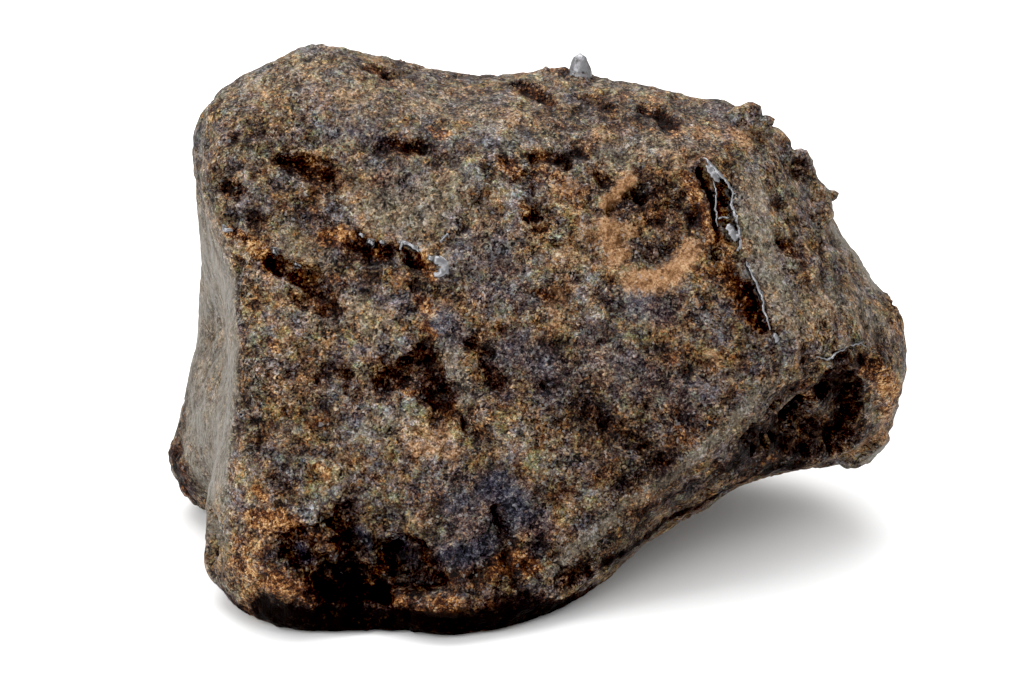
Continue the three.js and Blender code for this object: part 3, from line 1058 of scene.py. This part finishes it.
crust = {
    "grain": 0.32,       # size of one grain
    "salt": 0.16,        # size of the finest specks
    "warp": 0.4,         # how far the grains are pushed out of their rows
    "warpScale": 1.8,
    "elsewhere": (31.0, 57.0, 13.0),   # a shift that gives unrelated noise
    "stretch": (2.6, 2.6, 0.45),       # the streaks of the smooth skin run up and down
    # noise: size, detail, roughness, the values that become 0 and 1, or become the last two
    "clouds": {
        "clump": (1.2, 4.0, 0.7, 0.32, 0.68),    # grains gather in clumps
        "patch": (4.5, 3.0, 0.6, 0.34, 0.66),    # lighter and darker patches
        "hue": (4.0, 5.0, 0.82),
        "leaf": (2.8, 5.0, 0.9),
        "breakUp": (1.5, 5.0, 0.9, 0.35, 0.65, -0.6, 0.6),   # breaks up the edge of the dark paint
        "speckle": (0.8, 4.0, 0.8, 0.35, 0.65, -0.4, 0.4),   # and of the other masks
        "streak": (1.0, 5.0, 0.85, 0.36, 0.64, -0.15, 1.0),
    },
    # what each part adds to the lightness of a grain
    "light": {"base": 0.05, "grain": 0.28, "clump": 0.32, "salt": 0.30, "patch": 0.09,
              "pit": -0.30, "hollowAndShade": -0.32, "blackShade": -0.4},
    # the values of a part that become 0 and 1, or become the last two
    "spans": {
        "pitGrain": (0.34, 0.16),
        "pitPatch": (0.85, 0.25),
        "hollowAndShade": (0.42, 0.95),
        "blackShade": (1.05, 1.5),
        "warmGrain": (0.66, 0.9),
        "warmHue": (0.4, 0.62, 0.1, 0.9),
        "coolSalt": (0.4, 0.1),
        "coolHue": (0.55, 0.4, 0.0, 0.8),
        "worn": (0.15, 0.7),
        "paleAndSheen": (0.6, 0.9),
        "tan": (0.25, 0.85),
        "rust": (0.35, 0.85),
        "metalEdge": (0.0, 1.0, -0.25, 0.15),
        "metal": (0.35, 0.6),
        "glintGrain": (0.97, 0.985),
        "glintBare": (0.6, 0.1),
        "rough": (0.0, 1.0, 0.66, 0.5),
    },
    # how strongly each finish covers the crust
    "cover": {"warmHollow": 0.6, "blue": 0.85, "worn": 0.55, "tan": 0.9, "rust": 0.92, "glint": 0.25},
    "bump": {"clump": 0.6, "gap": -0.5, "salt": 0.2, "calm": 0.75, "deep": 0.12},
    "rustLight": (1.35, -0.16),   # factor and shift from the lightness of the crust to that of rust
    "paleRagged": 0.3,
    "streakSalt": 0.2,
    "streakTone": 1.6,
    "glintMetal": 0.5,
    "metalPolish": 0.22,
    "hollowRough": 0.8,
    "gloss": 0.14,
    "ramp": [
        (0.10, (0.0010, 0.0003, 0.0002)),
        (0.25, (0.010, 0.0044, 0.0030)),
        (0.38, (0.043, 0.0255, 0.0175)),
        (0.50, (0.092, 0.0690, 0.0480)),
        (0.62, (0.156, 0.1275, 0.0940)),
        (0.78, (0.290, 0.250, 0.200)),
        (0.95, (0.600, 0.570, 0.520)),
    ],
    "rustRamp": [
        (0.02, (0.002, 0.0004, 0.0001)),
        (0.26, (0.026, 0.0055, 0.0012)),
        (0.45, (0.078, 0.0225, 0.0045)),
        (0.58, (0.182, 0.0715, 0.0190)),
        (0.74, (0.345, 0.170, 0.056)),
        (0.95, (0.560, 0.380, 0.200)),
    ],
    "tanRamp": [
        (0.20, (0.100, 0.046, 0.020)),
        (0.42, (0.215, 0.108, 0.048)),
        (0.56, (0.300, 0.165, 0.080)),
        (0.80, (0.420, 0.270, 0.160)),
    ],
    "greyRamp": [
        (0.15, (0.030, 0.025, 0.018)),
        (0.40, (0.098, 0.083, 0.060)),
        (0.55, (0.150, 0.130, 0.098)),
        (0.85, (0.300, 0.275, 0.230)),
    ],
    "paleAndSheenRamp": [
        (0.05, (0.040, 0.030, 0.020)),
        (0.30, (0.092, 0.079, 0.062)),
        (0.60, (0.146, 0.133, 0.113)),
        (0.90, (0.205, 0.194, 0.174)),
    ],
    "blueRamp": [
        (0.12, (0.0008, 0.0008, 0.0015)),
        (0.30, (0.005, 0.006, 0.013)),
        (0.46, (0.023, 0.027, 0.048)),
        (0.60, (0.064, 0.068, 0.096)),
        (0.80, (0.200, 0.195, 0.200)),
    ],
    # tints that the crust is multiplied by: slate, plain, ochre, rust
    "hueRamp": [
        (0.33, (0.56, 0.71, 1.04)),
        (0.45, (0.77, 0.79, 0.87)),
        (0.52, (0.85, 0.79, 0.67)),
        (0.60, (1.00, 0.76, 0.48)),
        (0.71, (1.04, 0.52, 0.22)),
    ],
    # olive, plain, mauve
    "leafRamp": [
        (0.36, (0.78, 0.99, 0.64)),
        (0.50, (0.93, 0.91, 0.90)),
        (0.66, (1.00, 0.74, 0.80)),
    ],
    "metal": (0.21, 0.21, 0.22, 1),
    "glint": (0.40, 0.40, 0.41, 1),
}

crustMaterial = bpy.data.materials.new("weathered_iron")
crustMaterial.use_nodes = True
crustNodes = crustMaterial.node_tree
crustNodes.nodes.clear()


def addNode(kind, inputs=None, **settings):
    made = crustNodes.nodes.new(kind)
    for name, value in settings.items():
        setattr(made, name, value)
    for socket, value in (inputs or {}).items():
        if isinstance(value, bpy.types.NodeSocket):
            crustNodes.links.new(value, made.inputs[socket])
        else:
            made.inputs[socket].default_value = value
    return made


def calc(operation, first, second=0.0, third=0.0):
    return addNode("ShaderNodeMath", {0: first, 1: second, 2: third}, operation=operation).outputs[0]


def calcVector(operation, first, second):
    return addNode("ShaderNodeVectorMath", {0: first, 1: second}, operation=operation).outputs[0]


def remap(value, low, high, newLow=0.0, newHigh=1.0):
    return addNode("ShaderNodeMapRange", {0: value, 1: low, 2: high, 3: newLow, 4: newHigh}).outputs[0]


def mixColor(share, first, second, way="MIX"):
    return addNode("ShaderNodeMixRGB", {0: share, 1: first, 2: second}, blend_type=way).outputs[0]


def colorRamp(value, stops):
    made = addNode("ShaderNodeValToRGB", {0: value})
    steps = made.color_ramp.elements
    while len(steps) < len(stops):
        steps.new(0.5)
    for step, (place, color) in zip(steps, stops):
        step.position = place
        step.color = (*color, 1)
    return made.outputs[0]


def maskValue(name):
    return addNode("ShaderNodeAttribute", attribute_name=name, attribute_type="GEOMETRY").outputs["Fac"]


# Distance to the middle of each cell, and three random values for each cell
def cells(coords, size):
    made = addNode("ShaderNodeTexVoronoi", {"Vector": coords, "Scale": 1 / size})
    split = addNode("ShaderNodeSeparateColor", {0: made.outputs["Color"]})
    return made.outputs["Distance"], split.outputs[0], split.outputs[1], split.outputs[2]


def spread(value, name):
    return remap(value, *crust["spans"][name])


def cloud(coords, name):
    size, detail, rough, *span = crust["clouds"][name]
    settings = {"Vector": coords, "Scale": 1 / size, "Detail": detail, "Roughness": rough}
    value = addNode("ShaderNodeTexNoise", settings).outputs[0]
    return remap(value, *span) if span else value


# The noises and painted masks that the crust is mixed from
def crustParts():
    place = addNode("ShaderNodeTexCoord").outputs["Object"]
    inMm = calcVector("MULTIPLY", place, (1 / mm,) * 3)
    warp = addNode("ShaderNodeTexNoise", {"Vector": inMm, "Scale": crust["warpScale"], "Detail": 2.0})
    nudge = calcVector("MULTIPLY", warp.outputs["Color"], (crust["warp"],) * 3)
    coords = calcVector("ADD", inMm, nudge)
    elsewhere = calcVector("ADD", coords, crust["elsewhere"])
    parts = SimpleNamespace(**{name: maskValue(name) for name in masks})
    parts.grainGap, parts.grainA, parts.grainB, parts.grainC = cells(coords, crust["grain"])
    parts.saltA, parts.saltB = cells(coords, crust["salt"])[1:3]
    parts.clump = cloud(coords, "clump")
    parts.patch = cloud(inMm, "patch")
    parts.hue = cloud(coords, "hue")
    parts.leaf = cloud(elsewhere, "leaf")
    parts.breakUp = cloud(elsewhere, "breakUp")
    parts.speckle = cloud(elsewhere, "speckle")
    parts.streak = cloud(calcVector("MULTIPLY", inMm, crust["stretch"]), "streak")
    return parts


# How light each grain is, about 0.5 in the middle, and how far it lies in a dark hollow, whose darkness is
# partly painted shade
def crustLight(parts):
    shares = crust["light"]
    pits = calc("MULTIPLY", spread(parts.grainC, "pitGrain"), spread(parts.patch, "pitPatch"))
    hollowDarkAndShade = spread(calc("ADD", parts.dark, parts.breakUp), "hollowAndShade")
    light = calc("MULTIPLY_ADD", parts.grainA, shares["grain"], shares["base"])
    light = calc("MULTIPLY_ADD", parts.clump, shares["clump"], light)
    light = calc("MULTIPLY_ADD", parts.saltA, shares["salt"], light)
    light = calc("MULTIPLY_ADD", parts.patch, shares["patch"], light)
    light = calc("ADD", light, parts.tone)
    light = calc("MULTIPLY_ADD", pits, shares["pit"], light)
    # hollows darken the grain, partly as painted shade; the black part is painted shade
    light = calc("MULTIPLY_ADD", hollowDarkAndShade, shares["hollowAndShade"], light)
    light = calc("MULTIPLY_ADD", spread(parts.dark, "blackShade"), shares["blackShade"], light)
    return light, hollowDarkAndShade


def crustColor(parts, light, hollowDarkAndShade):
    cover = crust["cover"]
    color = colorRamp(light, crust["ramp"])
    color = mixColor(1.0, color, colorRamp(parts.hue, crust["hueRamp"]), "MULTIPLY")
    color = mixColor(1.0, color, colorRamp(parts.leaf, crust["leafRamp"]), "MULTIPLY")
    rustColor = colorRamp(calc("MULTIPLY_ADD", light, *crust["rustLight"]), crust["rustRamp"])
    warm = calc("MULTIPLY", spread(parts.grainB, "warmGrain"), spread(parts.hue, "warmHue"))
    warm = calc("MAXIMUM", warm, calc("MULTIPLY", hollowDarkAndShade, cover["warmHollow"]))
    color = mixColor(warm, color, rustColor)
    # slate blue grains, and the listed blue patches, which are partly painted sheen
    cool = calc("MULTIPLY", spread(parts.saltB, "coolSalt"), spread(parts.hue, "coolHue"))
    cool = calc("MAXIMUM", cool, calc("MULTIPLY", parts.blue, cover["blue"]))
    color = mixColor(cool, color, colorRamp(light, crust["blueRamp"]))

    # smooth parts: a quiet olive skin, paler where it is fully worn; on the left face that pale colour is
    # also painted sheen
    bare = calc("SUBTRACT", 1.0, hollowDarkAndShade)
    worn = calc("MULTIPLY", spread(calc("ADD", parts.grey, parts.speckle), "worn"), bare)
    worn = calc("MULTIPLY", worn, cover["worn"])
    color = mixColor(worn, color, colorRamp(light, crust["greyRamp"]))
    paleAndSheen = spread(calc("MULTIPLY_ADD", parts.speckle, crust["paleRagged"], parts.grey), "paleAndSheen")
    streak = calc("MULTIPLY_ADD", parts.saltA, crust["streakSalt"], parts.streak)
    streak = calc("MULTIPLY_ADD", parts.tone, crust["streakTone"], streak)
    color = mixColor(calc("MULTIPLY", paleAndSheen, bare), color, colorRamp(streak, crust["paleAndSheenRamp"]))

    # tan and rust patches
    tan = calc("MULTIPLY", spread(calc("ADD", parts.tan, parts.speckle), "tan"), cover["tan"])
    color = mixColor(tan, color, colorRamp(light, crust["tanRamp"]))
    rust = calc("MULTIPLY", spread(calc("ADD", parts.rust, parts.speckle), "rust"), cover["rust"])
    return mixColor(rust, color, rustColor)


# Fine relief in the shading, calmer on skin, tan patches and metal
def crustBump(parts):
    shares = crust["bump"]
    height = calc("MULTIPLY", parts.clump, shares["clump"])
    height = calc("MULTIPLY_ADD", parts.grainGap, shares["gap"], height)
    height = calc("MULTIPLY_ADD", parts.saltA, shares["salt"], height)
    quiet = calc("MAXIMUM", calc("MAXIMUM", parts.grey, parts.tan), parts.metal)
    strong = calc("SUBTRACT", 1.0, calc("MULTIPLY", quiet, shares["calm"]))
    settings = {"Strength": strong, "Distance": shares["deep"] * mm, "Height": height}
    return addNode("ShaderNodeBump", settings).outputs[0]


def makeCrust():
    parts = crustParts()
    light, hollowDarkAndShade = crustLight(parts)
    color = crustColor(parts, light, hollowDarkAndShade)
    metal = spread(calc("ADD", parts.metal, spread(parts.clump, "metalEdge")), "metal")
    color = mixColor(metal, color, crust["metal"])
    glint = calc("MULTIPLY", spread(parts.grainC, "glintGrain"), spread(hollowDarkAndShade, "glintBare"))
    color = mixColor(calc("MULTIPLY", glint, crust["cover"]["glint"]), color, crust["glint"])
    metallic = calc("MAXIMUM", metal, calc("MULTIPLY", glint, crust["glintMetal"]))
    roughness = spread(parts.clump, "rough")
    roughness = calc("SUBTRACT", roughness, calc("MULTIPLY", metal, crust["metalPolish"]))
    roughness = calc("MAXIMUM", roughness, calc("MULTIPLY", hollowDarkAndShade, crust["hollowRough"]))
    shader = addNode("ShaderNodeBsdfPrincipled", {
        "Base Color": color,
        "Metallic": metallic,
        "Roughness": roughness,
        "Normal": crustBump(parts),
        "Specular IOR Level": crust["gloss"],
    })
    addNode("ShaderNodeOutputMaterial", {"Surface": shader.outputs[0]})


makeCrust()
stone.data.materials.clear()
stone.data.materials.append(crustMaterial)
stone.data.shade_smooth()
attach(stone, "root")
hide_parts("meteorite")
print("crust material made")


# Studio: white floor, white surroundings and two big soft lights, in metres

studio = {
    "floorWide": 6.0,
    "floorColor": (0.86, 0.86, 0.86, 1),
    "floorRough": 0.9,
    "floorGloss": 0.1,
    "worldStrong": 0.92,
    "key": {"power": 9.0, "wide": 0.8, "place": (-0.07, 0.28, 0.75)},
    "fill": {"power": 6.5, "wide": 0.8, "place": (-0.55, -0.65, 0.5)},
    "blackLevel": 0.011,  # the photograph's deepest browns print as plain black
}


def makeFloor():
    half = studio["floorWide"] / 2
    bm = bmesh.new()
    corners = ((-half, -half, 0), (half, -half, 0), (half, half, 0), (-half, half, 0))
    bm.faces.new([bm.verts.new(corner) for corner in corners])
    floor = addObject("floor", meshFrom(bm, "floor"))
    material = bpy.data.materials.new("floor_white")
    material.use_nodes = True
    shader = material.node_tree.nodes["Principled BSDF"]
    shader.inputs["Base Color"].default_value = studio["floorColor"]
    shader.inputs["Roughness"].default_value = studio["floorRough"]
    shader.inputs["Specular IOR Level"].default_value = studio["floorGloss"]
    floor.data.materials.append(material)


def makeSoftbox(name):
    data = bpy.data.lights.new(name, "AREA")
    data.energy = studio[name]["power"]
    data.size = studio[name]["wide"]
    softbox = addObject(name, data)
    softbox.location = studio[name]["place"]
    softbox.rotation_euler = Vector(studio[name]["place"]).to_track_quat("Z", "Y").to_euler()


def makeWorld():
    world = bpy.data.worlds.new("studio")
    world.use_nodes = True
    background = world.node_tree.nodes["Background"]
    background.inputs["Color"].default_value = (1, 1, 1, 1)
    background.inputs["Strength"].default_value = studio["worldStrong"]
    bpy.context.scene.world = world


makeFloor()
makeWorld()
makeSoftbox("key")
makeSoftbox("fill")
viewSettings = bpy.context.scene.view_settings
viewSettings.view_transform = "Standard"
viewSettings.use_curve_mapping = True
viewSettings.curve_mapping.black_level = (studio["blackLevel"],) * 3
viewSettings.curve_mapping.update()
print("studio made")
